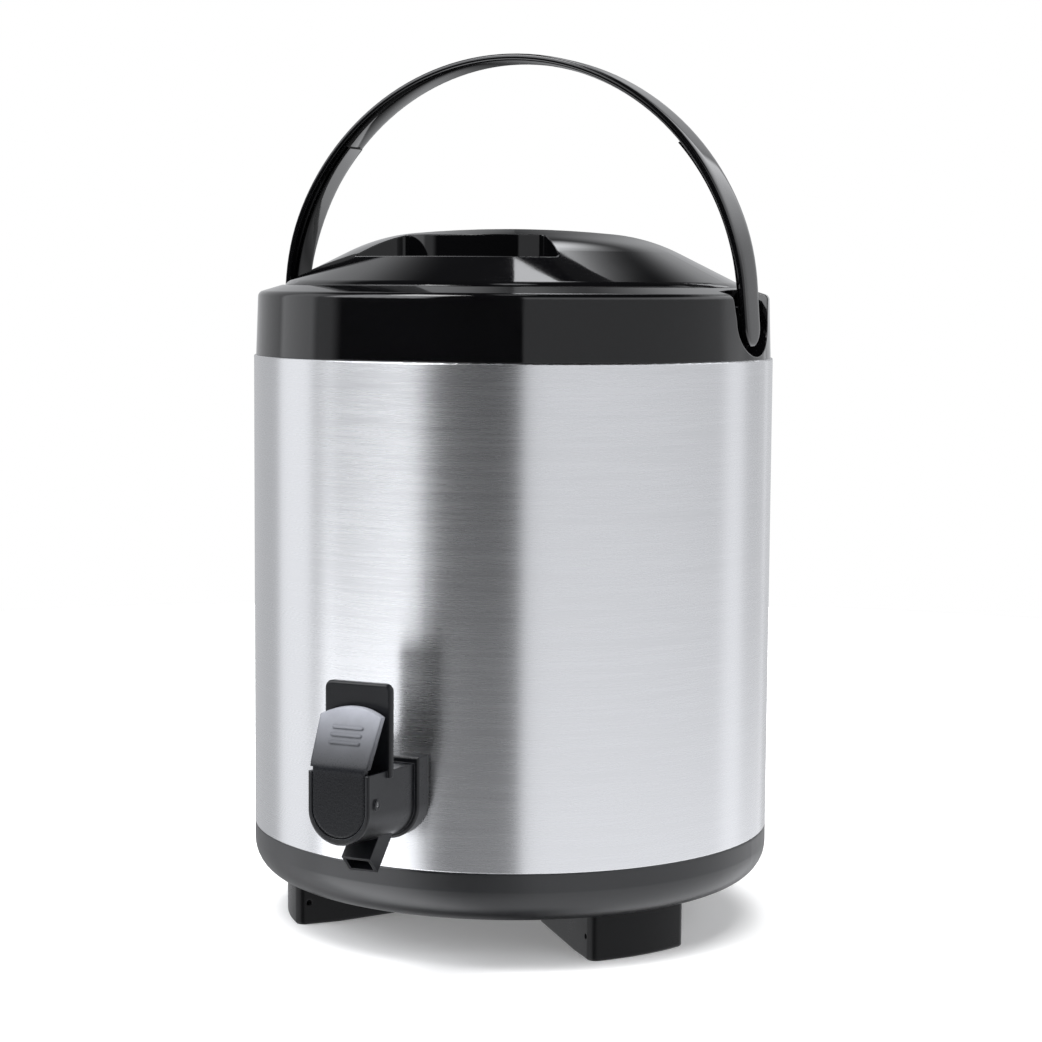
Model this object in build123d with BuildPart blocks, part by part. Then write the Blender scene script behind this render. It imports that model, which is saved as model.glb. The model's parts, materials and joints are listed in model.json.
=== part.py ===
from build123d import *
import os
from math import cos, degrees, radians, sin, tan

# Insulated beverage barrel with a pull tap, a lift-out lid and a bail handle.
# Millimetres. The origin is on the barrel's axis at the plane its feet stand on,
# +Z is up, the tap faces -Y and the handle pivots lie on the X axis.

os.makedirs("parts", exist_ok=True)

# ---- clearances ---------------------------------------------------------------
fit = 0.3            # between moulded or sheet pieces that are assembled
run = 0.05           # radial, between a turning or sliding pin and its bore
press = 0.01         # radial, between a pin or screw and the hole that grips it

# ---- barrel -------------------------------------------------------------------
body_r = 128.0       # outside of the steel shell
shell_h = 231.2      # height of the steel shell
shell_wall = 0.8
hem_w = 2.4          # shell's top edge, turned inwards
hem_round = 0.6
jacket_t = 23.0      # tank's inside face to the outside of the shell
liner_wall = 0.7
liner_corner = 6.0
liner_flange_w = 4.5

# ---- base pan and feet --------------------------------------------------------
foot_h = 22.0
foot_half_deg = 14.5
foot_spread_deg = 58.0   # front feet, each side of the tap
foot_inset = 16.0        # foot's outer face, inside the shell's radius
foot_len = 70.0
foot_land = 24.0         # part of the foot that touches the table
foot_rise = 2.6          # the rest of its underside rises to this at the inner end
foot_corner = 4.5
foot_edge = 1.2
foot_screw_inset = 20.0  # from the foot's outer face
foot_cross_inset = 9.0
foot_cross_r = 1.3
pan_h = 25.0
pan_wall = 3.6
pan_corner = 16.0
pan_seam_w = 0.5
pan_seam_h = 0.9
spigot_h = 8.0
boss_r = 5.0
boss_h = 10.0
foam_bevel_h = 5.0       # foam's lower edge above the pan's corner
screw_r = 1.9
screw_head_r = 3.5
screw_head_h = 2.4
screw_len = 18.0
screw_socket_r = 1.2
counterbore_h = 14.0
tank_floor_gap = 13.0    # tank floor above the steel shell's lower edge

# ---- collar -------------------------------------------------------------------
collar_inset = 1.0       # collar's lower edge inside the shell's radius
collar_draft = 1.0       # and how much further in its shoulder starts
collar_side_h = 28.3
collar_round = 3.0
collar_slope_deg = 17.0
collar_spigot_h = 8.0
collar_spigot_wall = 2.5
collar_pocket_wall = 2.5
collar_pocket_deg = 58.0 # hidden pockets, each side of the Y axis
seat_h = 31.3            # lid seat above the shell's top edge
lid_seat_w = 7.4         # from the neck out to the ring around the lid
ring_round = 0.8
neck_gap = 1.0           # collar's neck outside the tank's inside face
neck_lead = 1.5
liner_top_gap = 19.5     # tank's rim below the lid seat
seal_t = 0.8
seal_inset = 0.3

# ---- handle -------------------------------------------------------------------
pivot_h = 16.3           # pivot above the shell's top edge
arch_rise = 6.5          # centre of the arch above the pivot
arch_inset = 3.4         # arch's outer face inside the shell's radius
arm_flare_deg = 5.0
strap_t = 5.0
strap_end_r = 10.3
strap_mid_half = 12.0
strap_top_half = 11.0
strap_mid_h = 50.0
strap_edge = 1.2
pad_t = 1.0
pad_half = 7.5
pad_top_h = 87.5         # pads end this far above the pivot
arm_gap = 1.9            # between the arms' pads and the collar's recess floor
recess_half = 22.8
recess_drop = 14.8       # recess's lowest point under the pivot
recess_bowl = 17.0
recess_flare = 2.5
hub_r = 9.0
hub_gap = 0.3
pin_r = 4.0
pin_in_collar = 7.0

# ---- lid ----------------------------------------------------------------------
lid_gap = 0.8            # radial, between the lid's edge and the collar's ring
lid_wall = 3.0
lid_rim_h = 3.0          # height of the lid's upright edge
lid_rim_in = 2.6
lid_rim_rise = 2.2
crown_r = 520.0          # spherical middle of the dome
crown_deg = 5.5
shoulder_r = 90.0
cone_deg = 26.4
grip_in_r = 58.0         # finger pockets, seen from above
grip_out_r = 87.0
grip_half_deg = 38.0
grip_floor_h = 4.0       # pocket floor above the lid seat
grip_corner = 3.0
plug_gap = 2.8           # radial, between plug and collar neck
plug_depth = 19.5
plug_wall = 2.5
plug_flange_t = 2.0
plug_flange_up = 0.5
plug_flange_over = 1.2   # flange's edge beyond the neck
gasket_h = 3.0
gasket_depth = 2.0
gasket_up = 8.0          # groove above the plug's lower face
lid_screw_circle = 45.0
lid_screw_count = 3
lid_boss_r = 4.5
lid_boss_gap = 1.0       # between the bosses' tops and the underside of the dome

# ---- tap ----------------------------------------------------------------------
tap_h = 35.0             # tap axis above the steel shell's lower edge
flange_out = 10.5        # flange's front face, outside the shell
flange_half = 16.2
flange_top = 19.2        # above the tap axis
flange_low = 19.2
flange_edge = 1.2
shell_gasket_t = 1.5
cup_out = 56.5           # tap's front edge, outside the shell
cup_half = 15.0
cup_top = 19.0
cup_low = 13.1
cup_edge = 0.8
back_half = 14.2
back_top = 16.4
back_low = 17.2
thumb_half = 16.4
thumb_top = 56.5
thumb_t = 4.0
thumb_behind = 18.0      # thumb plate's face behind the tap's front edge
thumb_corner = 3.5
thumb_edge = 1.3
thumb_foot_up = 15.0     # plate's hidden foot starts this far above the tap axis
hinge_behind = 7.5       # lever pin behind the tap's front edge
hinge_up = 5.0           # lever pin above the tap axis
hinge_pin_r = 1.25
roll_pin_bore_r = 0.5
ear_boss_r = 2.6
ear_boss_out = 0.7
ear_boss_root = 1.0
lever_half = 12.7
lever_gap = 0.5
lever_low = 9.7          # lower end of the lever's plate below the tap axis
lever_set = 0.2          # lever's face behind the tap's front edge
lever_t = 3.6
lever_lean_deg = 30.0
lever_bend_up = 22.0     # where the plate bends back, above the tap axis
lever_bend_r = 9.0
paddle_t = 2.6
paddle_low_half = 13.9
paddle_top_half = 15.1
paddle_low_up = 21.0
paddle_side_up = 42.4
paddle_crown = 3.8
paddle_spare = 1.0       # blank left above the paddle's crown before it is trimmed
grip_rib_half = 7.5      # raised ribs across the paddle
grip_rib_h = 1.5
grip_rib_out = 0.5
grip_rib_pitch = 3.6
grip_rib_count = 3
grip_rib_up = 34.5       # middle rib above the tap axis
lever_hub_r = 3.6
lever_web_half = 3.1     # web between the hub and the lever's plate
lever_swing_deg = 25.0
sweep_spare_deg = 15.0   # room behind the lever's lower edge at full swing
sweep_steps = 4          # layers of the lever's thickness whose paths are cleared
push_half = 4.0
push_reach = 4.0         # push pad, above and below the tap axis
push_behind = 4.7        # push pad's face behind the lever pin
spring_pocket_r = 4.6
spring_pocket_len = 6.5
cavity_wall = 4.0
chamber_r = 9.0
chamber_len = 15.0
seat_len = 4.0
seat_r = 5.0
shank_r = 10.8
shank_bore_r = 7.8
shank_end_in = 36.0      # shank's inner end inside the shell's radius
stem_r = 2.0
stem_head_r = 4.0
stem_head_len = 3.0
stem_head_round = 1.2
stem_collar_r = 3.4
stem_collar_t = 1.0
disc_r = 6.8
disc_t = 3.0
spring_r = 3.2
spring_wire_r = 0.4
spring_turns = 4
stem_seal_r = 4.2
stem_seal_t = 1.6
spout_half = 7.1
spout_t = 10.5
spout_wall = 1.4
spout_deg = 45.0
spout_out = 36.4         # middle of the spout's mouth outside the shell
spout_low = 25.8         # and below the tap axis
nut_flats = 27.0
nut_t = 7.0
tank_gasket_r = 15.0
tank_gasket_t = 3.5

# ---- derived positions ----------------------------------------------------------
shell_z = foot_h + pan_h
shell_top = shell_z + shell_h
shell_in_r = body_r - shell_wall
liner_r = body_r - jacket_t
liner_out_r = liner_r + liner_wall
tank_floor = shell_z + tank_floor_gap
spigot_r = shell_in_r - fit
pan_in_r = body_r - pan_wall
seat_z = shell_top + seat_h
liner_rim_z = seat_z - liner_top_gap
neck_r = liner_r + neck_gap
ring_r = neck_r + lid_seat_w
lid_r = ring_r - lid_gap
collar_low_in_r = liner_r + liner_flange_w + 2 * fit
collar_spigot_r = body_r - hem_w - fit
pivot_z = shell_top + pivot_h
recess_inset = arch_inset + strap_t + pad_t + arm_gap
recess_x = body_r - recess_inset
tap_z = shell_z + tap_h
cup_y = body_r + cup_out
hinge_y = cup_y - hinge_behind
hinge_z = tap_z + hinge_up


def outward(distance):
    """Plane square to the tap's axis, this far from the barrel's axis."""
    return Plane(origin=(0, -distance, 0), x_dir=(1, 0, 0), z_dir=(0, -1, 0))


def radial(degrees_from_x, height=0.0):
    """Horizontal plane whose x direction points along a radius."""
    turn = radians(degrees_from_x)
    return Plane(origin=(0, 0, height), x_dir=(cos(turn), sin(turn), 0), z_dir=(0, 0, 1))


def upright(degrees_from_x):
    """Vertical plane through the axis, whose x direction is a radius."""
    turn = radians(degrees_from_x)
    return Plane(
        origin=(0, 0, 0), x_dir=(cos(turn), sin(turn), 0), z_dir=(sin(turn), -cos(turn), 0)
    )


foot_turns = {
    "foot_left": -90 - foot_spread_deg,
    "foot_right": -90 + foot_spread_deg,
    "foot_rear": 90,
}
foot_out_r = body_r - foot_inset
foot_screw_r = foot_out_r - foot_screw_inset

# ---- base pan ---------------------------------------------------------------------
with BuildPart() as base_pan:
    with BuildSketch(Plane.XZ):
        with BuildLine():
            corner_r = body_r - pan_corner
            Line((0, foot_h), (corner_r, foot_h))
            outer = CenterArc((corner_r, foot_h + pan_corner), pan_corner, -90, 90)
            rim_z = shell_z - pan_seam_h
            inner_corner = pan_corner - pan_wall
            top = Polyline(
                outer @ 1,
                (body_r, rim_z),
                (body_r - pan_seam_w, shell_z),
                (spigot_r, shell_z),
                (spigot_r, shell_z + spigot_h),
                (pan_in_r, shell_z + spigot_h),
                (pan_in_r, foot_h + pan_corner),
            )
            inner = CenterArc((corner_r, foot_h + pan_corner), inner_corner, 0, -90)
            Polyline(inner @ 1, (0, foot_h + pan_wall), (0, foot_h))
        make_face()
    revolve(axis=Axis.Z)
    for turn in foot_turns.values():
        with BuildSketch(radial(turn, foot_h + pan_wall)):
            with Locations((foot_screw_r, 0)):
                Circle(boss_r)
        extrude(amount=boss_h)
        with BuildSketch(radial(turn, foot_h)):
            with Locations((foot_screw_r, 0)):
                Circle(screw_r + press)
        extrude(amount=pan_wall + boss_h, mode=Mode.SUBTRACT)
base_pan.part.label = "base_pan"
export_step(base_pan.part, "parts/base_pan.step")


# ---- feet: wedge-shaped blocks with radial sides ---------------------------------
def make_foot(turn):
    """One foot, standing on the table and reaching up to the pan's floor."""
    with BuildPart() as foot:
        with BuildSketch(radial(turn)):
            Circle(foot_out_r)
            Circle(foot_out_r - foot_len, mode=Mode.SUBTRACT)
            with BuildLine():
                reach = 2 * foot_out_r
                spread = reach * tan(radians(foot_half_deg))
                Polyline((0, 0), (reach, spread), (reach, -spread), close=True)
            make_face(mode=Mode.INTERSECT)
        extrude(amount=foot_h)
        fillet(foot.edges().filter_by(Axis.Z), foot_corner)
        with BuildSketch(upright(turn)):
            with BuildLine():
                land_r = foot_out_r - foot_land
                heel_r = foot_out_r - foot_len
                slope = foot_rise / (land_r - heel_r)
                past_r = heel_r - foot_corner
                past_z = slope * (land_r - past_r)
                Polyline((land_r, 0), (past_r, 0), (past_r, past_z), close=True)
            make_face()
        extrude(amount=2 * foot_out_r * sin(radians(foot_half_deg)), both=True, mode=Mode.SUBTRACT)
        with BuildSketch(upright(turn)):
            with Locations((foot_out_r - foot_cross_inset, foot_h / 2)):
                Circle(foot_cross_r)
        extrude(amount=foot_out_r, both=True, mode=Mode.SUBTRACT)
        under = foot.edges().group_by(Axis.Z)[0]
        fillet(under.filter_by(GeomType.CIRCLE), foot_edge)
        with BuildSketch(radial(turn)):
            with Locations((foot_screw_r, 0)):
                Circle(screw_head_r + fit)
        extrude(amount=counterbore_h, mode=Mode.SUBTRACT)
        with BuildSketch(radial(turn)):
            with Locations((foot_screw_r, 0)):
                Circle(screw_r + fit)
        extrude(amount=foot_h, mode=Mode.SUBTRACT)
    return foot.part


for foot_name, turn in foot_turns.items():
    foot_part = make_foot(turn)
    foot_part.label = foot_name
    export_step(foot_part, f"parts/{foot_name}.step")

with BuildPart() as foot_screws:
    for turn in foot_turns.values():
        with BuildSketch(radial(turn, counterbore_h - screw_head_h)):
            with Locations((foot_screw_r, 0)):
                Circle(screw_head_r)
        extrude(amount=screw_head_h)
        with BuildSketch(radial(turn, counterbore_h)):
            with Locations((foot_screw_r, 0)):
                Circle(screw_r)
        extrude(amount=screw_len)
        with BuildSketch(radial(turn, counterbore_h - screw_head_h)):
            with Locations((foot_screw_r, 0)):
                RegularPolygon(screw_socket_r, 6)
        extrude(amount=screw_head_h / 2, mode=Mode.SUBTRACT)
foot_screws.part.label = "foot_screws"
export_step(foot_screws.part, "parts/foot_screws.step")

# ---- steel shell ------------------------------------------------------------------
with BuildPart() as outer_shell:
    with BuildSketch(Plane.XZ):
        with BuildLine():
            hem_r = body_r - hem_w
            side = Line((body_r, shell_z), (body_r, shell_top - hem_round))
            bend = CenterArc((body_r - hem_round, shell_top - hem_round), hem_round, 0, 90)
            Polyline(
                bend @ 1,
                (hem_r, shell_top),
                (hem_r, shell_top - shell_wall),
                (shell_in_r, shell_top - shell_wall),
                (shell_in_r, shell_z),
                side @ 0,
            )
        make_face()
    revolve(axis=Axis.Z)
    with BuildSketch(outward(liner_r)):
        with Locations((0, tap_z)):
            Circle(shank_r + fit)
    extrude(amount=2 * jacket_t, mode=Mode.SUBTRACT)
outer_shell.part.label = "outer_shell"
export_step(outer_shell.part, "parts/outer_shell.step")

# ---- tank ---------------------------------------------------------------------------
with BuildPart() as inner_liner:
    with BuildSketch(Plane.XZ):
        with BuildLine():
            flat_r = liner_r - liner_corner
            corner_z = tank_floor + liner_corner
            Line((0, tank_floor), (flat_r, tank_floor))
            inside = CenterArc((flat_r, corner_z), liner_corner, -90, 90)
            Polyline(
                inside @ 1,
                (liner_r, liner_rim_z),
                (liner_r + liner_flange_w, liner_rim_z),
                (liner_r + liner_flange_w, liner_rim_z - liner_wall),
                (liner_out_r, liner_rim_z - liner_wall),
                (liner_out_r, corner_z),
            )
            outside = CenterArc((flat_r, corner_z), liner_corner + liner_wall, 0, -90)
            Polyline(outside @ 1, (0, tank_floor - liner_wall), (0, tank_floor))
        make_face()
    revolve(axis=Axis.Z)
    with BuildSketch(outward(liner_r - jacket_t)):
        with Locations((0, tap_z)):
            Circle(shank_r + fit)
    extrude(amount=2 * jacket_t, mode=Mode.SUBTRACT)
inner_liner.part.label = "inner_liner"
export_step(inner_liner.part, "parts/inner_liner.step")

# ---- insulation between the tank and the shell ----------------------------------------
collar_spigot_in_r = collar_spigot_r - collar_spigot_wall
with BuildPart() as insulation:
    with BuildSketch(Plane.XZ):
        with BuildLine():
            bed_r = pan_in_r - fit
            bed_z = foot_h + pan_wall + boss_h + fit
            step_z = shell_z + spigot_h + fit
            outer_r = shell_in_r - fit
            under_collar = shell_top - collar_spigot_h - fit
            neck_foam_r = collar_low_in_r - fit
            hollow_r = liner_out_r + fit
            hollow_round = liner_corner + liner_wall + fit
            low_z = foot_h + pan_corner
            edge = Polyline(
                (0, tank_floor - liner_wall - fit),
                (0, bed_z),
                (bed_r - pan_corner, bed_z),
                (bed_r, low_z + foam_bevel_h),
                (bed_r, step_z),
                (outer_r, step_z),
                (outer_r, under_collar),
                (collar_spigot_in_r - fit, under_collar),
                (collar_spigot_in_r - fit, shell_top - fit),
                (neck_foam_r, shell_top - fit),
                (neck_foam_r, liner_rim_z - liner_wall - fit),
                (hollow_r, liner_rim_z - liner_wall - fit),
                (hollow_r, tank_floor + liner_corner),
            )
            hollow = CenterArc(
                (liner_r - liner_corner, tank_floor + liner_corner), hollow_round, 0, -90
            )
            Line(hollow @ 1, edge @ 0)
        make_face()
    revolve(axis=Axis.Z)
    with BuildSketch(outward(liner_r - jacket_t)):
        with Locations((0, tap_z)):
            Circle(shank_r + 2 * fit)
    extrude(amount=2 * jacket_t, mode=Mode.SUBTRACT)
insulation.part.label = "insulation"
export_step(insulation.part, "parts/insulation.step")

# ---- seal between the tank's rim and the collar ---------------------------------------
neck_seal_z = liner_rim_z + seal_t
with BuildPart() as neck_seal:
    with BuildSketch(Plane.XY.offset(liner_rim_z)):
        Circle(liner_r + liner_flange_w - seal_inset)
        Circle(neck_r + seal_inset, mode=Mode.SUBTRACT)
    extrude(amount=seal_t)
neck_seal.part.label = "neck_seal"
export_step(neck_seal.part, "parts/neck_seal.step")

# ---- collar: ring with a sloped shoulder, the lid's seat and a recess for each arm -----
collar_low_r = body_r - collar_inset
collar_top_r = collar_low_r - collar_draft
collar_side_z = shell_top + collar_side_h
slope = radians(collar_slope_deg)
round_end = (
    collar_top_r - collar_round * (1 - sin(slope)),
    collar_side_z + collar_round * cos(slope),
)
crest_r = ring_r + ring_round
crest_z = round_end[1] + (round_end[0] - crest_r) * tan(slope)
with BuildPart() as collar:
    with BuildSketch(Plane.XZ):
        with BuildLine():
            low = Polyline(
                (ring_r, crest_z - ring_round),
                (ring_r, seat_z),
                (neck_r + neck_lead, seat_z),
                (neck_r, seat_z - neck_lead),
                (neck_r, neck_seal_z),
                (collar_low_in_r, neck_seal_z),
                (collar_low_in_r, shell_top),
                (collar_spigot_in_r, shell_top),
                (collar_spigot_in_r, shell_top - collar_spigot_h),
                (collar_spigot_r, shell_top - collar_spigot_h),
                (collar_spigot_r, shell_top),
                (collar_low_r, shell_top),
                (collar_top_r, collar_side_z),
            )
            shoulder = CenterArc(
                (collar_top_r - collar_round, collar_side_z),
                collar_round,
                0,
                90 - collar_slope_deg,
            )
            Polyline(shoulder @ 1, (crest_r, crest_z), low @ 0)
        make_face()
    revolve(axis=Axis.Z)
    pocket_in_r = collar_low_in_r + collar_pocket_wall
    pocket_out_r = collar_top_r - collar_pocket_wall
    pocket_h = seat_h - 2 * collar_pocket_wall
    for side in (-90, 90):
        with BuildSketch(radial(side, shell_top)):
            Circle(pocket_out_r)
            Circle(pocket_in_r, mode=Mode.SUBTRACT)
            with BuildLine():
                reach = 2 * body_r
                spread = reach * tan(radians(collar_pocket_deg))
                Polyline((0, 0), (reach, spread), (reach, -spread), close=True)
            make_face(mode=Mode.INTERSECT)
        extrude(amount=pocket_h, mode=Mode.SUBTRACT)
    bowl_z = pivot_z - recess_drop + recess_bowl
    lip_z = collar_side_z
    for side in (1, -1):
        wall = Plane(origin=(side * recess_x, 0, 0), x_dir=(0, side, 0), z_dir=(side, 0, 0))
        with BuildSketch(wall):
            with BuildLine():
                bowl = EllipticalCenterArc(
                    (0, bowl_z), recess_half, recess_bowl, start_angle=180, arc_size=180
                )
                Polyline(
                    bowl @ 1,
                    (recess_half + recess_flare, lip_z),
                    (recess_half + 2 * recess_flare, crest_z),
                    (recess_half + 2 * recess_flare, crest_z + collar_round),
                    (-recess_half - 2 * recess_flare, crest_z + collar_round),
                    (-recess_half - 2 * recess_flare, crest_z),
                    (-recess_half - recess_flare, lip_z),
                    bowl @ 0,
                )
            make_face()
        extrude(amount=recess_inset + fit, mode=Mode.SUBTRACT)
        with BuildSketch(wall):
            with Locations((0, pivot_z)):
                Circle(pin_r + run)
        extrude(amount=-pin_in_collar, mode=Mode.SUBTRACT)
collar.part.label = "collar"
export_step(collar.part, "parts/collar.step")

# ---- handle: flat strap bent into an arch ---------------------------------------------
arch_z = pivot_z + arch_rise
arch_r = body_r - arch_inset
arm_end_z = pivot_z - strap_end_r


def arch_band(thickness):
    """Face of the arch's side view, from its outer curve inwards, arms flared outwards."""
    flare = radians(arm_flare_deg)
    sweep = 180 - 2 * arm_flare_deg
    with BuildSketch() as band:
        with BuildLine():
            over = CenterArc((0, arch_z), arch_r, arm_flare_deg, sweep)
            under = CenterArc((0, arch_z), arch_r - thickness, arm_flare_deg, sweep)
            drop = (over @ 0).Y - arm_end_z
            rise = (under @ 0).Y - arm_end_z
            right = Line(over @ 0, over @ 0 + Vector(drop * tan(flare), -drop))
            left = Line(over @ 1, over @ 1 + Vector(-drop * tan(flare), -drop))
            in_right = Line(under @ 0, under @ 0 + Vector(rise * tan(flare), -rise))
            in_left = Line(under @ 1, under @ 1 + Vector(-rise * tan(flare), -rise))
            Line(right @ 1, in_right @ 1)
            Line(left @ 1, in_left @ 1)
        make_face()
    return band.sketch


with BuildPart() as handle:
    with BuildSketch(Plane.XZ):
        add(arch_band(strap_t))
    extrude(amount=strap_mid_half + fit, both=True)
    with BuildSketch(Plane.YZ):
        with BuildLine():
            end_arc = CenterArc((0, pivot_z), strap_end_r, 180, 180)
            crown_z = arch_z + arch_r + fit
            right_side = Spline(
                end_arc @ 1,
                (strap_mid_half, pivot_z + strap_mid_h),
                (strap_top_half, crown_z),
                tangents=((0, 1), (0, 1)),
            )
            left_side = Spline(
                end_arc @ 0,
                (-strap_mid_half, pivot_z + strap_mid_h),
                (-strap_top_half, crown_z),
                tangents=((0, 1), (0, 1)),
            )
            Line(right_side @ 1, left_side @ 1)
        make_face()
    extrude(amount=body_r, both=True, mode=Mode.INTERSECT)
    along = handle.edges().filter_by(Axis.X, reverse=True).filter_by(Axis.Y, reverse=True)
    chamfer(along, strap_edge)
    with BuildSketch(Plane.XZ):
        add(arch_band(strap_t + pad_t))
        with Locations((0, pivot_z - strap_end_r / 2)):
            Rectangle(
                2 * body_r,
                strap_end_r / 2 + pad_top_h,
                align=(Align.CENTER, Align.MIN),
                mode=Mode.INTERSECT,
            )
    extrude(amount=pad_half, both=True)
    for side in (1, -1):
        hub_face = Plane(
            origin=(side * (recess_x + hub_gap), 0, 0), x_dir=(0, side, 0), z_dir=(side, 0, 0)
        )
        with BuildSketch(hub_face):
            with Locations((0, pivot_z)):
                Circle(hub_r)
        extrude(amount=strap_t)
        with BuildSketch(hub_face):
            with Locations((0, pivot_z)):
                Circle(pin_r + press)
        extrude(amount=strap_t, mode=Mode.SUBTRACT)
handle.part.label = "handle"
export_step(handle.part, "parts/handle.step")

with BuildPart() as handle_pins:
    for side in (1, -1):
        start = Plane(
            origin=(side * (recess_x - pin_in_collar + fit), 0, 0),
            x_dir=(0, side, 0),
            z_dir=(side, 0, 0),
        )
        with BuildSketch(start):
            with Locations((0, pivot_z)):
                Circle(pin_r)
        extrude(amount=pin_in_collar - fit + hub_gap + strap_t - fit)
handle_pins.part.label = "handle_pins"
export_step(handle_pins.part, "parts/handle_pins.step")

# ---- lid: domed cover with two finger pockets -----------------------------------------
crown_turn = radians(crown_deg)
cone_turn = radians(cone_deg)
rim_top_z = seat_z + lid_rim_h
cone_r = lid_r - lid_rim_in
cone_z = rim_top_z + lid_rim_rise
crown_in = crown_r * sin(crown_turn)
shoulder_in = crown_in + shoulder_r * (sin(cone_turn) - sin(crown_turn))
lid_top = (
    cone_z
    + (cone_r - shoulder_in) * tan(cone_turn)
    + shoulder_r * (cos(crown_turn) - cos(cone_turn))
    + crown_r * (1 - cos(crown_turn))
)


def dome_profile(inset):
    """Half section under the dome, moved inwards by a wall thickness."""
    with BuildSketch() as half:
        with BuildLine():
            top = lid_top - inset
            crown = JernArc((0, top), (1, 0), crown_r - inset, -crown_deg)
            bend = JernArc(crown @ 1, crown % 1, shoulder_r - inset, crown_deg - cone_deg)
            cone_len = (cone_r - inset - (bend @ 1).X) / cos(cone_turn)
            cone = Line(bend @ 1, bend @ 1 + cone_len * (bend % 1))
            edge_r = lid_r - inset
            rim = Line((edge_r, rim_top_z - inset / 2), (edge_r, seat_z))
            TangentArc(cone @ 1, rim @ 0, tangent=cone % 1)
            Polyline(rim @ 1, (0, seat_z), (0, top))
        make_face()
    return half.sketch


def grip_sector(inner, outer, half_deg, side):
    """Part of a ring about the axis, centred on one side of the lid."""
    with BuildSketch() as ring:
        Circle(outer)
        Circle(inner, mode=Mode.SUBTRACT)
        with BuildLine():
            reach = 2 * outer
            spread = reach * tan(radians(half_deg))
            Polyline((0, 0), (spread, side * reach), (-spread, side * reach), close=True)
        make_face(mode=Mode.INTERSECT)
    return ring.sketch


grip_z = seat_z + grip_floor_h
wall_deg = degrees(lid_wall / grip_in_r)
with BuildPart() as lid_hollow:
    with BuildSketch(Plane.XZ):
        add(dome_profile(lid_wall))
    revolve(axis=Axis.Z)
    for side in (1, -1):
        with BuildSketch(Plane.XY.offset(grip_z - lid_wall)):
            add(
                grip_sector(
                    grip_in_r - lid_wall, grip_out_r + lid_wall, grip_half_deg + wall_deg, side
                )
            )
        extrude(amount=lid_top - grip_z + lid_wall, mode=Mode.SUBTRACT)
    with BuildSketch(Plane.XY.offset(seat_z - plug_depth + plug_wall + fit)):
        with PolarLocations(lid_screw_circle, lid_screw_count):
            Circle(lid_boss_r)
    extrude(amount=lid_top - seat_z + plug_depth, mode=Mode.SUBTRACT)

with BuildPart() as lid_cover:
    with BuildSketch(Plane.XZ):
        add(dome_profile(0))
    revolve(axis=Axis.Z)
    for side in (1, -1):
        with BuildSketch(Plane.XY.offset(grip_z)):
            sector = grip_sector(grip_in_r, grip_out_r, grip_half_deg, side)
            add(sector)
            fillet(vertices(), grip_corner)
        extrude(amount=lid_top - grip_z + fit, mode=Mode.SUBTRACT)
    add(lid_hollow.part, mode=Mode.SUBTRACT)
    boss_z = seat_z - plug_depth + plug_wall
    with BuildSketch(Plane.XY.offset(boss_z)):
        with PolarLocations(lid_screw_circle, lid_screw_count):
            Circle(lid_boss_r)
    extrude(amount=lid_top - lid_wall - lid_boss_gap - boss_z)
    with BuildSketch(Plane.XY.offset(boss_z)):
        with PolarLocations(lid_screw_circle, lid_screw_count):
            Circle(screw_r + press)
    extrude(amount=screw_len, mode=Mode.SUBTRACT)
lid_cover.part.label = "lid_cover"
export_step(lid_cover.part, "parts/lid_cover.step")

# ---- plug under the lid, its seal, filling and screws -----------------------------------
plug_r = neck_r - plug_gap
plug_z = seat_z - plug_depth
plug_top = seat_z + plug_flange_up + plug_flange_t
flange_r = neck_r + plug_flange_over
groove_r = plug_r - gasket_depth
groove_z = plug_z + gasket_up
with BuildPart() as lid_plug:
    with BuildSketch(Plane.XZ):
        with BuildLine():
            Polyline(
                (0, plug_z),
                (plug_r - plug_wall, plug_z),
                (plug_r, plug_z + plug_wall),
                (plug_r, groove_z),
                (groove_r, groove_z),
                (groove_r, groove_z + gasket_h),
                (plug_r, groove_z + gasket_h),
                (plug_r, seat_z + plug_flange_up),
                (flange_r, seat_z + plug_flange_up),
                (flange_r, plug_top),
                (groove_r - plug_wall, plug_top),
                (groove_r - plug_wall, plug_z + plug_wall),
                (0, plug_z + plug_wall),
                close=True,
            )
        make_face()
    revolve(axis=Axis.Z)
    with BuildSketch(Plane.XY.offset(plug_z)):
        with PolarLocations(lid_screw_circle, lid_screw_count):
            Circle(screw_r + fit)
    extrude(amount=plug_wall, mode=Mode.SUBTRACT)
lid_plug.part.label = "lid_plug"
export_step(lid_plug.part, "parts/lid_plug.step")

with BuildPart() as lid_filling:
    with BuildSketch(Plane.XY.offset(plug_z + plug_wall + fit)):
        Circle(groove_r - plug_wall - fit)
        with PolarLocations(lid_screw_circle, lid_screw_count):
            Circle(lid_boss_r + fit, mode=Mode.SUBTRACT)
    extrude(amount=plug_depth - plug_wall + grip_floor_h - lid_wall - 2 * fit)
lid_filling.part.label = "lid_filling"
export_step(lid_filling.part, "parts/lid_filling.step")

with BuildPart() as lid_gasket:
    with BuildSketch(Plane.XZ):
        with BuildLine():
            gasket_in = groove_r + fit / 2
            Polyline(
                (gasket_in, groove_z + fit / 2),
                (plug_r + plug_gap / 2, groove_z + fit / 2),
                (neck_r - fit - press, groove_z + gasket_h - fit),
                (neck_r - fit - press, groove_z + gasket_h - fit / 2),
                (gasket_in, groove_z + gasket_h - fit / 2),
                close=True,
            )
        make_face()
    revolve(axis=Axis.Z)
lid_gasket.part.label = "lid_gasket"
export_step(lid_gasket.part, "parts/lid_gasket.step")

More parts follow.
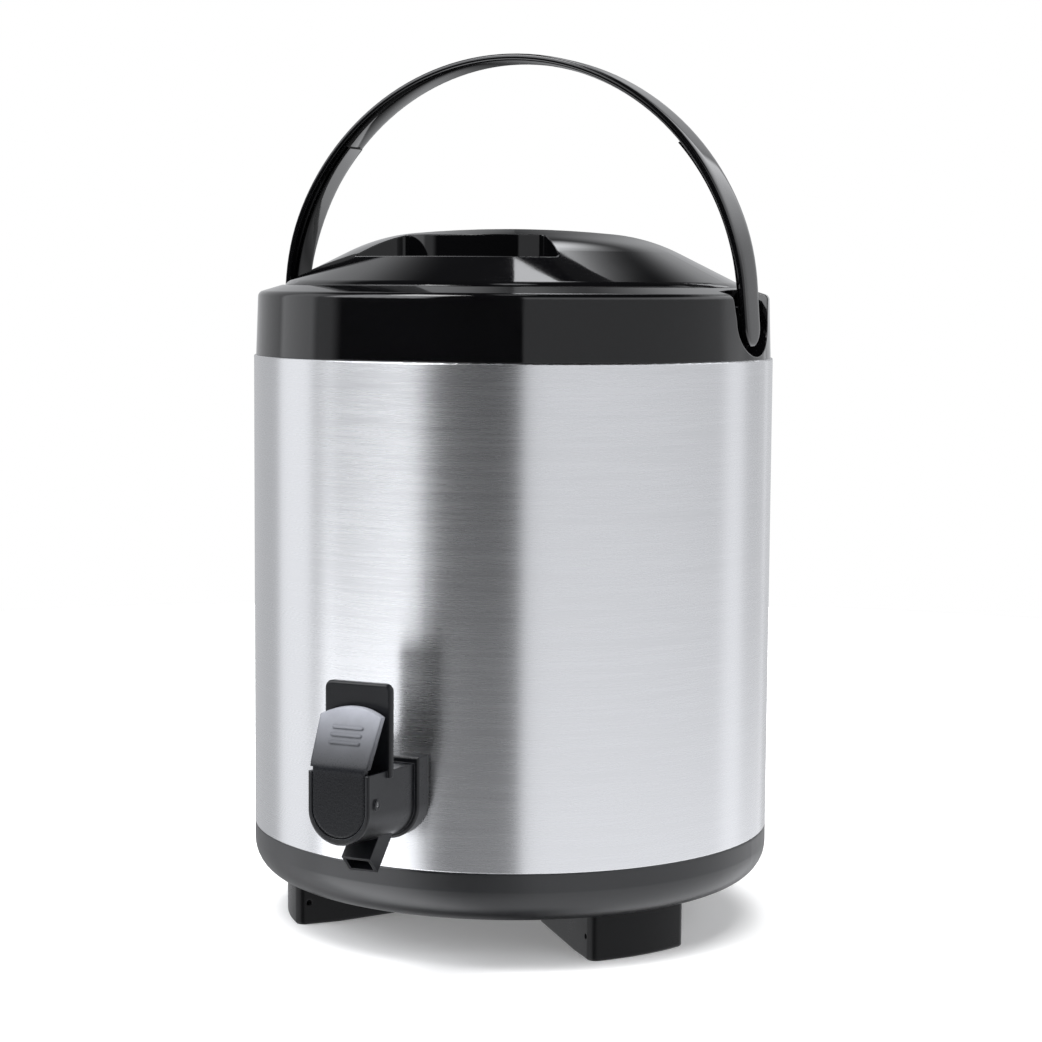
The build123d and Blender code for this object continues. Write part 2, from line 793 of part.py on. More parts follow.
with BuildPart() as lid_screws:
    for thickness, radius, low in (
        (screw_head_h, screw_head_r, plug_z - screw_head_h),
        (plug_depth - plug_wall, screw_r, plug_z),
    ):
        with BuildSketch(Plane.XY.offset(low)):
            with PolarLocations(lid_screw_circle, lid_screw_count):
                Circle(radius)
        extrude(amount=thickness)
    with BuildSketch(Plane.XY.offset(plug_z - screw_head_h)):
        with PolarLocations(lid_screw_circle, lid_screw_count):
            RegularPolygon(screw_socket_r, 6)
    extrude(amount=screw_head_h / 2, mode=Mode.SUBTRACT)
lid_screws.part.label = "lid_screws"
export_step(lid_screws.part, "parts/lid_screws.step")


# ---- tap: body with flange, shank, thumb plate, lever ears and spout ----------------------
def tap_outline(half, above, below):
    """Outline seen from the front, flat on top and round below the tap axis."""
    with BuildSketch() as outline:
        with Locations((0, tap_z - below + half)):
            Circle(half)
            Rectangle(2 * half, above + below - half, align=(Align.CENTER, Align.MIN))
    return outline.sketch


hinge = Axis((0, -hinge_y, hinge_z), (1, 0, 0))
flange_y = body_r + flange_out
thumb_y = cup_y - thumb_behind
chamber_y = thumb_y - spring_pocket_len - cavity_wall
valve_y = chamber_y - chamber_len
disc_y = valve_y - seat_len - run
shank_end_y = body_r - shank_end_in
lever_y = cup_y - lever_set
back_y = lever_y - lever_t
cavity_half = lever_half + lever_gap
saddle_r = body_r + shell_gasket_t + fit
spout_turn = radians(spout_deg)
mouth = Plane(
    origin=(0, -(body_r + spout_out), tap_z - spout_low),
    x_dir=(1, 0, 0),
    z_dir=(0, cos(spout_turn), sin(spout_turn)),
)

with BuildPart() as thumb_plate:
    with BuildSketch(outward(thumb_y - thumb_t)):
        with Locations((0, tap_z)):
            Rectangle(2 * thumb_half, thumb_top, align=(Align.CENTER, Align.MIN))
        fillet(vertices().group_by(Axis.Y)[-1], thumb_corner)
        with Locations((0, tap_z)):
            Rectangle(2 * thumb_half, thumb_foot_up, align=(Align.CENTER, Align.MIN), mode=Mode.SUBTRACT)
    extrude(amount=thumb_t)
    for face in thumb_plate.faces().filter_by(Axis.Y):
        fillet(face.edges().sort_by(Axis.Z)[1:], thumb_edge)

with BuildPart() as tap_body:
    flange_back = body_r - flange_half
    with BuildSketch(outward(flange_back)):
        add(tap_outline(flange_half, flange_top, flange_low))
    extrude(amount=flange_y - flange_back)
    fillet(tap_body.faces().sort_by(Axis.Y)[0].edges(), flange_edge)
    with BuildSketch(outward(flange_y - flange_edge)):
        add(tap_outline(back_half, back_top, back_low))
    with BuildSketch(outward(cup_y)):
        add(tap_outline(cup_half, cup_top, cup_low))
    loft()
    fillet(tap_body.faces().sort_by(Axis.Y)[0].edges(), cup_edge)
    add(thumb_plate.part)
    with BuildSketch(mouth):
        Rectangle(2 * spout_half, spout_t)
    extrude(amount=spout_low)
    with BuildSketch(Plane.XY.offset(tap_z - 2 * flange_low)):
        Circle(saddle_r)
    extrude(amount=4 * flange_low, mode=Mode.SUBTRACT)
    with BuildSketch(outward(shank_end_y)):
        with Locations((0, tap_z)):
            Circle(shank_r)
    extrude(amount=flange_y - shank_end_y)
    with BuildSketch(outward(thumb_y)):
        add(tap_outline(cavity_half, cup_top + fit, lever_low + lever_gap))
    extrude(amount=thumb_behind, mode=Mode.SUBTRACT)
    for step in range(sweep_steps + 1):
        with BuildSketch(outward(lever_y - step * lever_t / sweep_steps)):
            add(tap_outline(cavity_half, hinge_up, lever_low + lever_gap))
        revolve(
            axis=hinge, revolution_arc=lever_swing_deg + sweep_spare_deg, mode=Mode.SUBTRACT
        )
    for start, end, radius in (
        (shank_end_y, valve_y - seat_len, shank_bore_r),
        (valve_y - seat_len, valve_y, seat_r),
        (valve_y, chamber_y, chamber_r),
        (chamber_y, thumb_y - spring_pocket_len, stem_r + run),
        (thumb_y - spring_pocket_len, thumb_y, spring_pocket_r),
    ):
        with BuildSketch(outward(start)):
            with Locations((0, tap_z)):
                Circle(radius)
        extrude(amount=end - start, mode=Mode.SUBTRACT)
    with BuildSketch(mouth):
        Rectangle(2 * (spout_half - spout_wall), spout_t - 2 * spout_wall)
    extrude(amount=spout_low, mode=Mode.SUBTRACT)
    for side in (1, -1):
        root_x = side * (cup_half - ear_boss_root)
        ear = Plane(origin=(root_x, 0, 0), x_dir=(0, side, 0), z_dir=(side, 0, 0))
        with BuildSketch(ear):
            with Locations((-side * hinge_y, hinge_z)):
                Circle(ear_boss_r)
        extrude(amount=ear_boss_root + ear_boss_out)
    with BuildSketch(Plane.YZ):
        with Locations((-hinge_y, hinge_z)):
            Circle(hinge_pin_r + press)
    extrude(amount=2 * cup_half, both=True, mode=Mode.SUBTRACT)
tap_body.part.label = "tap_body"
export_step(tap_body.part, "parts/tap_body.step")

with BuildPart() as shell_gasket:
    with BuildSketch(Plane.XY.offset(tap_z - 2 * flange_low)):
        Circle(saddle_r - press)
        Circle(body_r + press, mode=Mode.SUBTRACT)
    extrude(amount=4 * flange_low)
    with BuildSketch(outward(flange_back)):
        add(tap_outline(flange_half - fit, flange_top - fit, flange_low - fit))
        with Locations((0, tap_z)):
            Circle(shank_r + run, mode=Mode.SUBTRACT)
    extrude(amount=2 * flange_half, mode=Mode.INTERSECT)
shell_gasket.part.label = "shell_gasket"
export_step(shell_gasket.part, "parts/shell_gasket.step")

# ---- clamp inside the tank: gasket and nut on the shank ------------------------------------
gasket_face_y = liner_r - tank_gasket_t
with BuildPart() as tank_gasket:
    with BuildSketch(outward(gasket_face_y)):
        with Locations((0, tap_z)):
            Circle(tank_gasket_r)
            Circle(shank_r + run, mode=Mode.SUBTRACT)
    extrude(amount=tank_gasket_t)
    with BuildSketch(Plane.XY.offset(tap_z - tank_gasket_r - fit)):
        Circle(liner_r - press)
    extrude(amount=2 * (tank_gasket_r + fit), mode=Mode.INTERSECT)
tank_gasket.part.label = "tank_gasket"
export_step(tank_gasket.part, "parts/tank_gasket.step")

with BuildPart() as shank_nut:
    with BuildSketch(outward(gasket_face_y - nut_t)):
        with Locations((0, tap_z)):
            RegularPolygon(nut_flats / 2, 6, major_radius=False)
            Circle(shank_r + run, mode=Mode.SUBTRACT)
    extrude(amount=nut_t)
shank_nut.part.label = "shank_nut"
export_step(shank_nut.part, "parts/shank_nut.step")

# ---- lever: plate that fills the cup's front, bent back into a thumb paddle -----------------
with BuildPart() as tap_lever:
    lean = radians(lever_lean_deg)
    bend_z = tap_z + lever_bend_up
    low_z = tap_z - lever_low
    top_z = tap_z + paddle_side_up + paddle_crown + paddle_spare
    run_back = (top_z - bend_z) * tan(lean)
    skin = paddle_t / cos(lean)
    with BuildSketch(Plane.YZ):
        with BuildLine():
            Polyline(
                (-lever_y, low_z),
                (-lever_y, bend_z),
                (-lever_y + run_back, top_z),
                (-lever_y + run_back + skin, top_z),
                (-back_y, bend_z - (lever_t - skin) / tan(lean)),
                (-back_y, low_z),
                close=True,
            )
        make_face()
        fillet(vertices().sort_by_distance((-lever_y, bend_z))[0], lever_bend_r)
    extrude(amount=paddle_top_half + fit, both=True)
    with BuildSketch(outward(thumb_y)):
        add(tap_outline(lever_half, paddle_low_up + fit, lever_low))
        with BuildLine():
            corners = Polyline(
                (-paddle_top_half, tap_z + paddle_side_up),
                (-paddle_low_half, tap_z + paddle_low_up),
                (paddle_low_half, tap_z + paddle_low_up),
                (paddle_top_half, tap_z + paddle_side_up),
            )
            ThreePointArc(
                corners @ 1, (0, tap_z + paddle_side_up + paddle_crown), corners @ 0
            )
        make_face()
    extrude(amount=thumb_behind, mode=Mode.INTERSECT)
    rib_z = tap_z + grip_rib_up
    paddle_face = Plane(
        origin=(0, -lever_y + (rib_z - bend_z) * tan(lean), rib_z),
        x_dir=(1, 0, 0),
        z_dir=(0, -cos(lean), sin(lean)),
    )
    with BuildSketch(paddle_face):
        with GridLocations(0, grip_rib_pitch, 1, grip_rib_count):
            SlotOverall(2 * grip_rib_half, grip_rib_h)
    extrude(amount=grip_rib_out)
    with BuildSketch(Plane.YZ):
        with Locations((-hinge_y, hinge_z)):
            Circle(lever_hub_r)
        with Locations((-hinge_y, hinge_z)):
            Rectangle(
                back_y - hinge_y + fit,
                2 * lever_web_half,
                align=(Align.MAX, Align.CENTER),
            )
    extrude(amount=lever_half, both=True)
    with BuildSketch(Plane.YZ):
        with Locations((-hinge_y + push_behind, tap_z)):
            Rectangle(
                push_behind + hinge_behind - lever_t, 2 * push_reach, align=(Align.MAX, Align.CENTER)
            )
    extrude(amount=push_half, both=True)
    with BuildSketch(Plane.YZ):
        with Locations((-hinge_y, hinge_z)):
            Circle(hinge_pin_r + run)
    extrude(amount=lever_half, both=True, mode=Mode.SUBTRACT)
tap_lever.part.label = "tap_lever"
export_step(tap_lever.part, "parts/tap_lever.step")

with BuildPart() as lever_pin:
    with BuildSketch(Plane.YZ):
        with Locations((-hinge_y, hinge_z)):
            Circle(hinge_pin_r)
            Circle(roll_pin_bore_r, mode=Mode.SUBTRACT)
    extrude(amount=cup_half + ear_boss_out - fit, both=True)
lever_pin.part.label = "lever_pin"
export_step(lever_pin.part, "parts/lever_pin.step")

# ---- valve: stem pushed inwards by the lever, disc, stem seal and return spring -------------
stem_tip_y = hinge_y - push_behind - fit
stem_end_y = disc_y - disc_t - stem_collar_t
with BuildPart() as valve_stem:
    for start, end, radius in (
        (stem_end_y, disc_y - disc_t, stem_collar_r),
        (disc_y - disc_t, stem_tip_y - stem_head_len, stem_r),
        (disc_y, disc_y + stem_collar_t, stem_collar_r),
        (stem_tip_y - stem_head_len, stem_tip_y, stem_head_r),
    ):
        with BuildSketch(outward(start)):
            with Locations((0, tap_z)):
                Circle(radius)
        extrude(amount=end - start)
    fillet(valve_stem.faces().sort_by(Axis.Y)[0].edges(), stem_head_round)
valve_stem.part.label = "valve_stem"
export_step(valve_stem.part, "parts/valve_stem.step")

with BuildPart() as valve_disc:
    with BuildSketch(outward(disc_y - disc_t)):
        with Locations((0, tap_z)):
            Circle(disc_r)
            Circle(stem_r + press, mode=Mode.SUBTRACT)
    extrude(amount=disc_t)
valve_disc.part.label = "valve_disc"
export_step(valve_disc.part, "parts/valve_disc.step")

with BuildPart() as stem_seal:
    with BuildSketch(outward(chamber_y - stem_seal_t)):
        with Locations((0, tap_z)):
            Circle(stem_seal_r)
            Circle(stem_r + run, mode=Mode.SUBTRACT)
    extrude(amount=stem_seal_t)
stem_seal.part.label = "stem_seal"
export_step(stem_seal.part, "parts/stem_seal.step")

with BuildPart() as return_spring:
    spring_y = thumb_y - spring_pocket_len + spring_wire_r + press
    spring_len = stem_tip_y - stem_head_len - spring_wire_r - press - spring_y
    with BuildLine() as coil:
        Helix(
            pitch=spring_len / spring_turns,
            height=spring_len,
            radius=spring_r,
            center=(0, -spring_y, tap_z),
            direction=(0, -1, 0),
        )
    with BuildSketch(Plane(origin=coil.line @ 0, z_dir=coil.line % 0)):
        Circle(spring_wire_r)
    sweep(path=coil.line, is_frenet=True)
return_spring.part.label = "return_spring"
export_step(return_spring.part, "parts/return_spring.step")
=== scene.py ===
# %% [markdown]
# # An insulated drink barrel
# A barrel like this keeps tea or soda cold on a serving counter. It is a brushed steel drum
# between a glossy black collar and a satin black base, with a domed lid, a bail handle and a pull
# tap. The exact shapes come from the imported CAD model. Blender's work here is the finishes, the
# moulded handle and the light.

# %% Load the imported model
import json
import math

import bmesh
import bpy
from mathutils import Matrix, Vector


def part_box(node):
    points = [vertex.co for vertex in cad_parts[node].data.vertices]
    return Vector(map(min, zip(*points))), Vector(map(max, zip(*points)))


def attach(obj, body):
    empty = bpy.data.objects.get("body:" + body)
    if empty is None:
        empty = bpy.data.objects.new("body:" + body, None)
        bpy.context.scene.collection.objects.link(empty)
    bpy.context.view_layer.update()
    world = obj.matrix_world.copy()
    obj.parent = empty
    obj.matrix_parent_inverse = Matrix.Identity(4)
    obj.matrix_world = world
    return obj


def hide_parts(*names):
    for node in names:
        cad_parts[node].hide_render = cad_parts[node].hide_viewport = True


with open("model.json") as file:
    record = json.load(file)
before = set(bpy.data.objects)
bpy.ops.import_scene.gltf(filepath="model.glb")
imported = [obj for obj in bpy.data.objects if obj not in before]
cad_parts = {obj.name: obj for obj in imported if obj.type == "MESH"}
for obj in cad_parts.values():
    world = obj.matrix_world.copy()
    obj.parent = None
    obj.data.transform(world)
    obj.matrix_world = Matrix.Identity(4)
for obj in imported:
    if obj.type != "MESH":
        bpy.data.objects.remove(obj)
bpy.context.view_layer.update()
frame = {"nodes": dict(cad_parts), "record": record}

# %% [markdown]
# ## Where things are
# Sizes are read from the CAD nodes, so a changed model moves its finishes and its handle with it.
# The handle's pins give its pivot height.

# %% Measure the barrel
drum_low, drum_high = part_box("outer_shell")
drum_r = drum_high.x
arm_low, arm_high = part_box("handle")
pin_low, pin_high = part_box("handle_pins")
pivot_z = (pin_low.z + pin_high.z) / 2

# %% [markdown]
# ## The camera
# The barrel is seen a little from its right, from just above the middle of its collar. The camera
# is built from three unit vectors, right, up and back, so its small tilt is kept exactly.

# %% Set up the camera
VIEW_TURN = math.radians(24.0)  # round the barrel from the tap
VIEW_DISTANCE = 1.2281  # m from the barrel's axis
VIEW_HEIGHT = 0.3138  # m above the table
VIEW_YAW, VIEW_PITCH, VIEW_ROLL = 0.0035, 0.0959, 0.0072  # radians
LENS, SENSOR = 85.35, 36.0  # mm


def camera_matrix():
    """The camera's place and direction, set up looking along +Y, then turned round the barrel."""
    yaw_c, yaw_s = math.cos(VIEW_YAW), math.sin(VIEW_YAW)
    pitch_c, pitch_s = math.cos(VIEW_PITCH), math.sin(VIEW_PITCH)
    roll_c, roll_s = math.cos(VIEW_ROLL), math.sin(VIEW_ROLL)
    level = Vector((yaw_c, -yaw_s, 0))
    ahead = Vector((pitch_c * yaw_s, pitch_c * yaw_c, -pitch_s))
    above = Vector((pitch_s * yaw_s, pitch_s * yaw_c, pitch_c))
    right = roll_c * level + roll_s * above
    up = roll_c * above - roll_s * level
    place = Vector((0, -VIEW_DISTANCE, VIEW_HEIGHT))
    columns = Matrix((right, up, -ahead)).transposed().to_4x4()
    return Matrix.Rotation(VIEW_TURN, 4, "Z") @ Matrix.Translation(place) @ columns


camera_data = bpy.data.cameras.new("camera")
camera_data.lens, camera_data.sensor_width = LENS, SENSOR
camera_data.clip_start, camera_data.clip_end = 0.05, 50
camera = bpy.data.objects.new("camera", camera_data)
bpy.context.collection.objects.link(camera)
camera.matrix_world = camera_matrix()
bpy.context.scene.camera = camera
print("camera at", [round(v, 3) for v in camera.matrix_world.translation])

# %% [markdown]
# ## The studio
# Polished black plastic has almost no colour of its own, so what it mirrors is what it looks
# like. A product studio therefore puts cards and softboxes round the object. Cards that are only
# seen in reflections go into the world shader as soft rectangles in azimuth and elevation. The
# two real softboxes are area lights, because they also throw the soft shadows.

# %% Paint the studio cards into the world
world = bpy.data.worlds.new("studio")
world.use_nodes = True
bpy.context.scene.world = world
bpy.context.scene.view_settings.view_transform = "Standard"
sky = world.node_tree
sky.nodes.clear()


def sky_math(operation, *values):
    """One Math node in the world, fed with sockets or numbers."""
    node = sky.nodes.new("ShaderNodeMath")
    node.operation = operation
    for socket, value in zip(node.inputs, values):
        if isinstance(value, bpy.types.NodeSocket):
            sky.links.new(value, socket)
        else:
            socket.default_value = value
    return node.outputs[0]


def sky_step(value, start, end):
    """Rises smoothly from 0 to 1 as value goes from start to end."""
    node = sky.nodes.new("ShaderNodeMapRange")
    node.interpolation_type = "SMOOTHSTEP"
    sky.links.new(value, node.inputs["Value"])
    node.inputs["From Min"].default_value = min(start, end)
    node.inputs["From Max"].default_value = max(start, end)
    node.inputs["To Min"].default_value = 0.0 if start < end else 1.0
    node.inputs["To Max"].default_value = 1.0 if start < end else 0.0
    return node.outputs[0]


direction = sky.nodes.new("ShaderNodeTexCoord").outputs["Generated"]
turned = sky.nodes.new("ShaderNodeVectorRotate")
turned.rotation_type = "Z_AXIS"
turned.inputs["Angle"].default_value = -VIEW_TURN
sky.links.new(direction, turned.inputs["Vector"])
split = sky.nodes.new("ShaderNodeSeparateXYZ")
sky.links.new(turned.outputs[0], split.inputs[0])
to_degrees = 180 / math.pi
towards_tap = sky_math("MULTIPLY", split.outputs[1], -1.0)
azimuth = sky_math("MULTIPLY", sky_math("ARCTAN2", split.outputs[0], towards_tap), to_degrees)
elevation = sky_math("MULTIPLY", sky_math("ARCSINE", split.outputs[2]), to_degrees)

# name: azimuth from, to, its softness, elevation from, to, its softness, brightness
CARDS = {
    "left_far": (-178, -124, 4, -60, 40, 8, 0.6),
    "left_back": (-124, -98, 3, -60, 40, 8, 1.2),
    "left_dim": (-98, -84, 4, -60, 40, 8, 0.55),
    "left_high": (-92, -40, 6, 14, 55, 6, 4.4),
    "left_low": (-94, -40, 6, -75, -14, 6, 4.0),
    "front_low": (-40, 4, 4, -80, -22, 12, 1.2),
    "right": (4, 152, 1, -75, 40, 8, 0.66),
    "right_high": (4, 152, 1, 16, 40, 8, 1.1),
    "right_low": (4, 152, 1, -75, -14, 8, 0.95),
    "right_bright": (106, 122, 5, -14, 14, 8, 0.35),
    "far_right": (150, 176, 6, -30, 30, 8, 0.7),
    "back_high": (168, 190, 6, 38, 62, 6, 4.2),
    "top": (-190, 190, 1, 85, 100, 2, 2.5),
}
AMBIENT = 0.02


def card(az_from, az_to, az_soft, el_from, el_to, el_soft, bright):
    """Brightness of one soft rectangle."""
    across = sky_math(
        "MULTIPLY",
        sky_step(azimuth, az_from - az_soft, az_from + az_soft),
        sky_step(azimuth, az_to + az_soft, az_to - az_soft),
    )
    upright = sky_math(
        "MULTIPLY",
        sky_step(elevation, el_from - el_soft, el_from + el_soft),
        sky_step(elevation, el_to + el_soft, el_to - el_soft),
    )
    return sky_math("MULTIPLY", sky_math("MULTIPLY", across, upright), bright)


total = AMBIENT
for settings in CARDS.values():
    total = sky_math("ADD", card(*settings), total)
seen = sky.nodes.new("ShaderNodeLightPath").outputs["Is Camera Ray"]
reflected = sky.nodes.new("ShaderNodeBackground")
reflected.inputs["Color"].default_value = (0.965, 0.975, 1.0, 1)
sky.links.new(total, reflected.inputs["Strength"])
backdrop = sky.nodes.new("ShaderNodeBackground")
backdrop.inputs["Color"].default_value = (1, 1, 1, 1)
backdrop.inputs["Strength"].default_value = 1.0
choose = sky.nodes.new("ShaderNodeMixShader")
sky.links.new(seen, choose.inputs[0])
sky.links.new(reflected.outputs[0], choose.inputs[1])
sky.links.new(backdrop.outputs[0], choose.inputs[2])
sky.links.new(choose.outputs[0], sky.nodes.new("ShaderNodeOutputWorld").inputs[0])
print(len(CARDS), "cards round the barrel")

# %% [markdown]
# ### Softboxes and the table
# The overhead softbox is wide, so it lights the table evenly and leaves only a faint shadow under
# the base. The key light stands at the left. The table is a pale round top, wide enough to fill
# the view.

# %% Hang the softboxes and lay the table
TABLE_R, TABLE_CORNERS = 1.2, 96


def softbox(name, turn_deg, rise_deg, distance, width, height, brightness):
    """An area light that looks at the barrel's middle. Brightness is its radiance."""
    data = bpy.data.lights.new(name, "AREA")
    data.shape, data.size, data.size_y = "RECTANGLE", width, height
    data.energy = brightness * math.pi * width * height
    lamp = bpy.data.objects.new(name, data)
    bpy.context.collection.objects.link(lamp)
    turn, rise = math.radians(turn_deg) + VIEW_TURN, math.radians(rise_deg)
    level = math.cos(rise)
    away = Vector((math.sin(turn) * level, -math.cos(turn) * level, math.sin(rise)))
    middle = Vector((0, 0, (drum_low.z + drum_high.z) / 2))
    facing = away.to_track_quat("Z", "Y").to_matrix().to_4x4()
    lamp.matrix_world = Matrix.Translation(middle + away * distance) @ facing
    return lamp


overhead = softbox(
    "overhead_softbox", turn_deg=0, rise_deg=90,
    distance=2.3, width=2.4, height=2.4, brightness=5.0,
)
overhead.visible_glossy = False  # polished tops mirror the smaller top card instead
softbox(
    "left_softbox", turn_deg=-57, rise_deg=60,
    distance=1.9, width=0.7, height=0.6, brightness=11.0,
)

table_mesh = bpy.data.meshes.new("table_top")
corners = [k * math.tau / TABLE_CORNERS for k in range(TABLE_CORNERS)]
rim = [(TABLE_R * math.cos(a), TABLE_R * math.sin(a), 0) for a in corners]
table_mesh.from_pydata(rim, [], [range(TABLE_CORNERS)])
table = bpy.data.objects.new("table_top", table_mesh)
bpy.context.collection.objects.link(table)
table.visible_glossy = False  # its reflection is left to the cards under the horizon
print("table radius", TABLE_R, "m")

# %% [markdown]
# ## Finishes
# Every finish is a small network of nodes. The helpers below keep each recipe short: one for
# noise in the object's own coordinates, one to squeeze a value into a range, one for bumps, and
# one for the soft edge that every moulded or pressed piece has.


# %% Helpers for the finishes
class Finish:
    """A material and the few node moves that its recipe needs."""

    def __init__(self, name):
        self.material = bpy.data.materials.new(name)
        self.material.use_nodes = True
        self.tree = self.material.node_tree
        self.shader = self.tree.nodes["Principled BSDF"]
        self.place = self.tree.nodes.new("ShaderNodeTexCoord").outputs["Object"]

    def node(self, kind, links=None, **settings):
        made = self.tree.nodes.new(kind)
        for key, value in settings.items():
            setattr(made, key, value)
        for key, value in (links or {}).items():
            socket = made.inputs[key]
            if isinstance(value, bpy.types.NodeSocket):
                self.tree.links.new(value, socket)
            else:
                socket.default_value = value
        return made

    def stretched(self, x, y, z):
        links = {"Vector": self.place, "Scale": (x, y, z)}
        return self.node("ShaderNodeMapping", links).outputs[0]

    def noise(self, scale, detail=3.0, rough=0.55, where=None):
        links = {"Scale": scale, "Detail": detail, "Roughness": rough}
        links["Vector"] = where or self.place
        return self.node("ShaderNodeTexNoise", links).outputs["Fac"]

    def span(self, value, low, high, start=0.3, end=0.7):
        links = {"Value": value, "From Min": start, "From Max": end, "To Min": low, "To Max": high}
        return self.node("ShaderNodeMapRange", links).outputs[0]

    def math(self, operation, *values):
        return self.node("ShaderNodeMath", dict(enumerate(values)), operation=operation).outputs[0]

    def blend(self, amount, first, second):
        made = self.node("ShaderNodeMix", {"Factor": amount}, data_type="RGBA")
        for key, value in (("A", first), ("B", second)):
            socket = [s for s in made.inputs if s.name == key and s.type == "RGBA"][0]
            if isinstance(value, bpy.types.NodeSocket):
                self.tree.links.new(value, socket)
            else:
                socket.default_value = (*value, 1)
        return [s for s in made.outputs if s.type == "RGBA"][0]

    def rounded(self, radius):
        return self.node("ShaderNodeBevel", {"Radius": radius}, samples=6).outputs[0]

    def worn_edges(self, radius, strength):
        """Near 1 on edges, where the rounded normal leaves the flat one."""
        flat = self.node("ShaderNodeNewGeometry").outputs["Normal"]
        normals = {0: self.rounded(radius), 1: flat}
        dot = self.node("ShaderNodeVectorMath", normals, operation="DOT_PRODUCT")
        bare = self.math("MULTIPLY", self.math("SUBTRACT", 1.0, dot.outputs["Value"]), strength)
        return self.node("ShaderNodeClamp", {"Value": bare}).outputs[0]

    def bump(self, height, strength, depth, under=None):
        links = {"Height": height, "Strength": strength, "Distance": depth}
        if under is not None:
            links["Normal"] = under
        return self.node("ShaderNodeBump", links).outputs[0]

    def wire(self, **sockets):
        names = {
            "colour": "Base Color",
            "roughness": "Roughness",
            "normal": "Normal",
            "metal": "Metallic",
        }
        for key, value in sockets.items():
            socket = self.shader.inputs[names[key]]
            if isinstance(value, bpy.types.NodeSocket):
                self.tree.links.new(value, socket)
            else:
                socket.default_value = (*value, 1) if isinstance(value, tuple) else value
        return self.material


# %% [markdown]
# ### Gloss black: the collar, the lid and the handle
# These are polished ABS mouldings. Up close the mirror isn't perfect: it waves very slightly
# where the plastic shrank, and handling leaves faint smudges that are rougher than the rest.

# %% Gloss black


def polished(name, edge=None):
    """Polished black plastic. A CAD piece gets soft edges; a swept piece has real ones."""
    made = Finish(name)
    smudge = made.noise(38, 5, 0.6)
    dust = made.noise(900, 2, 0.5)
    dusty = made.span(dust, 0.0, 0.03, 0.6, 0.8)
    soft = made.rounded(edge) if edge else None
    sink = made.bump(made.noise(22, 1, 0.4), 0.12, 0.0004, soft)
    made.shader.inputs["IOR"].default_value = 1.5
    return made.wire(
        colour=made.blend(smudge, (0.0012, 0.0012, 0.0014), (0.0024, 0.0024, 0.0028)),
        roughness=made.math("ADD", made.span(smudge, 0.03, 0.075, 0.42, 0.72), dusty),
        normal=made.bump(dust, 0.05, 0.00002, sink),
    )


gloss_black = polished("gloss_black_abs", 0.0009)
handle_gloss = polished("gloss_black_handle")
print("gloss black with soft edges, and without for the handle")

# %% [markdown]
# ### Grained black: the base, the feet and the tap
# These are tougher mouldings with a fine spark-eroded grain. Their edges shine a little, because
# they rub on the counter and on hands. One recipe makes all three, and only its numbers differ.

# %% Grained black


def moulded(name, dark, light, rough_low, rough_high, grain, depth, edge, edge_colour, gleam=0.5):
    """A grained black moulding with edges rubbed lighter."""
    made = Finish(name)
    made.shader.inputs["Specular IOR Level"].default_value = gleam
    cloud = made.noise(30, 4, 0.6)
    fine = made.noise(grain, 3, 0.6)
    rubbed = made.worn_edges(edge, 2.2)
    patchy = made.math("MULTIPLY", rubbed, made.span(made.noise(160, 4), 0.25, 1.0))
    body = made.blend(cloud, dark, light)
    clouded = made.span(cloud, rough_low, rough_high)
    return made.wire(
        colour=made.blend(patchy, body, edge_colour),
        roughness=made.math("ADD", clouded, made.span(fine, -0.03, 0.05)),
        normal=made.bump(fine, 0.35, depth, made.rounded(edge)),
    )


satin_black = moulded(
    "satin_black_base", (0.009, 0.0095, 0.0105), (0.012, 0.0125, 0.014),
    0.3, 0.38, 2600, 0.00003, 0.0009, (0.045, 0.046, 0.05),
)
tap_black = moulded(
    "tap_charcoal", (0.0026, 0.0029, 0.0038), (0.0045, 0.005, 0.0065),
    0.27, 0.34, 1500, 0.00006, 0.0007, (0.05, 0.053, 0.06), 0.3,
)
foot_black = moulded(
    "foot_black", (0.0022, 0.0023, 0.0026), (0.0036, 0.0037, 0.0042),
    0.26, 0.34, 2600, 0.00003, 0.0009, (0.03, 0.031, 0.034), 0.15,
)
print("grained black for the base, the tap and the feet")

# %% [markdown]
# ### The lever, with a painted sheen
# The tap's lever is the same black plastic. Its paddle has a painted highlight: a pale grey-blue
# painted near the upper end, where the curved top would catch the light. Height alone could paint
# that as a hard ramp, so its square is used, which fades slowly, and a cloud of noise keeps it
# uneven.

# %% Lever with a painted sheen
PADDLE_SHEEN = 0.03  # height of the painted sheen, down from the lever's upper end


def painted_sheen_lever():
    """Grained black with a painted highlight, a grey-blue sheen, at the lever's upper end."""
    made = Finish("lever_charcoal")
    made.shader.inputs["Specular IOR Level"].default_value = 0.2
    lever_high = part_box("tap_lever")[1].z
    height = made.node("ShaderNodeSeparateXYZ", {0: made.place}).outputs[2]
    rise = made.span(height, 0.0, 1.0, lever_high - PADDLE_SHEEN, lever_high)
    cloud = made.noise(70, 4, 0.6)
    grain = made.noise(1500, 3, 0.6)
    # painted highlight: the paddle lightens towards its upper end, in place of the light its
    # curved top catches
    painted_sheen = made.math("MULTIPLY", made.math("POWER", rise, 2.0), made.span(cloud, 0.8, 1.0))
    rubbed = made.worn_edges(0.0006, 1.8)
    body = made.blend(cloud, (0.0026, 0.0029, 0.0038), (0.0045, 0.005, 0.0065))
    sheened_body = made.blend(painted_sheen, body, (0.3, 0.31, 0.345))
    polish = made.span(rise, 0.26, 0.36, 0.0, 1.0)
    return made.wire(
        colour=made.blend(rubbed, sheened_body, (0.06, 0.063, 0.07)),
        roughness=made.math("ADD", polish, made.span(grain, -0.03, 0.04)),
        normal=made.bump(grain, 0.45, 0.00007, made.rounded(0.0014)),
    )


lever_black = painted_sheen_lever()

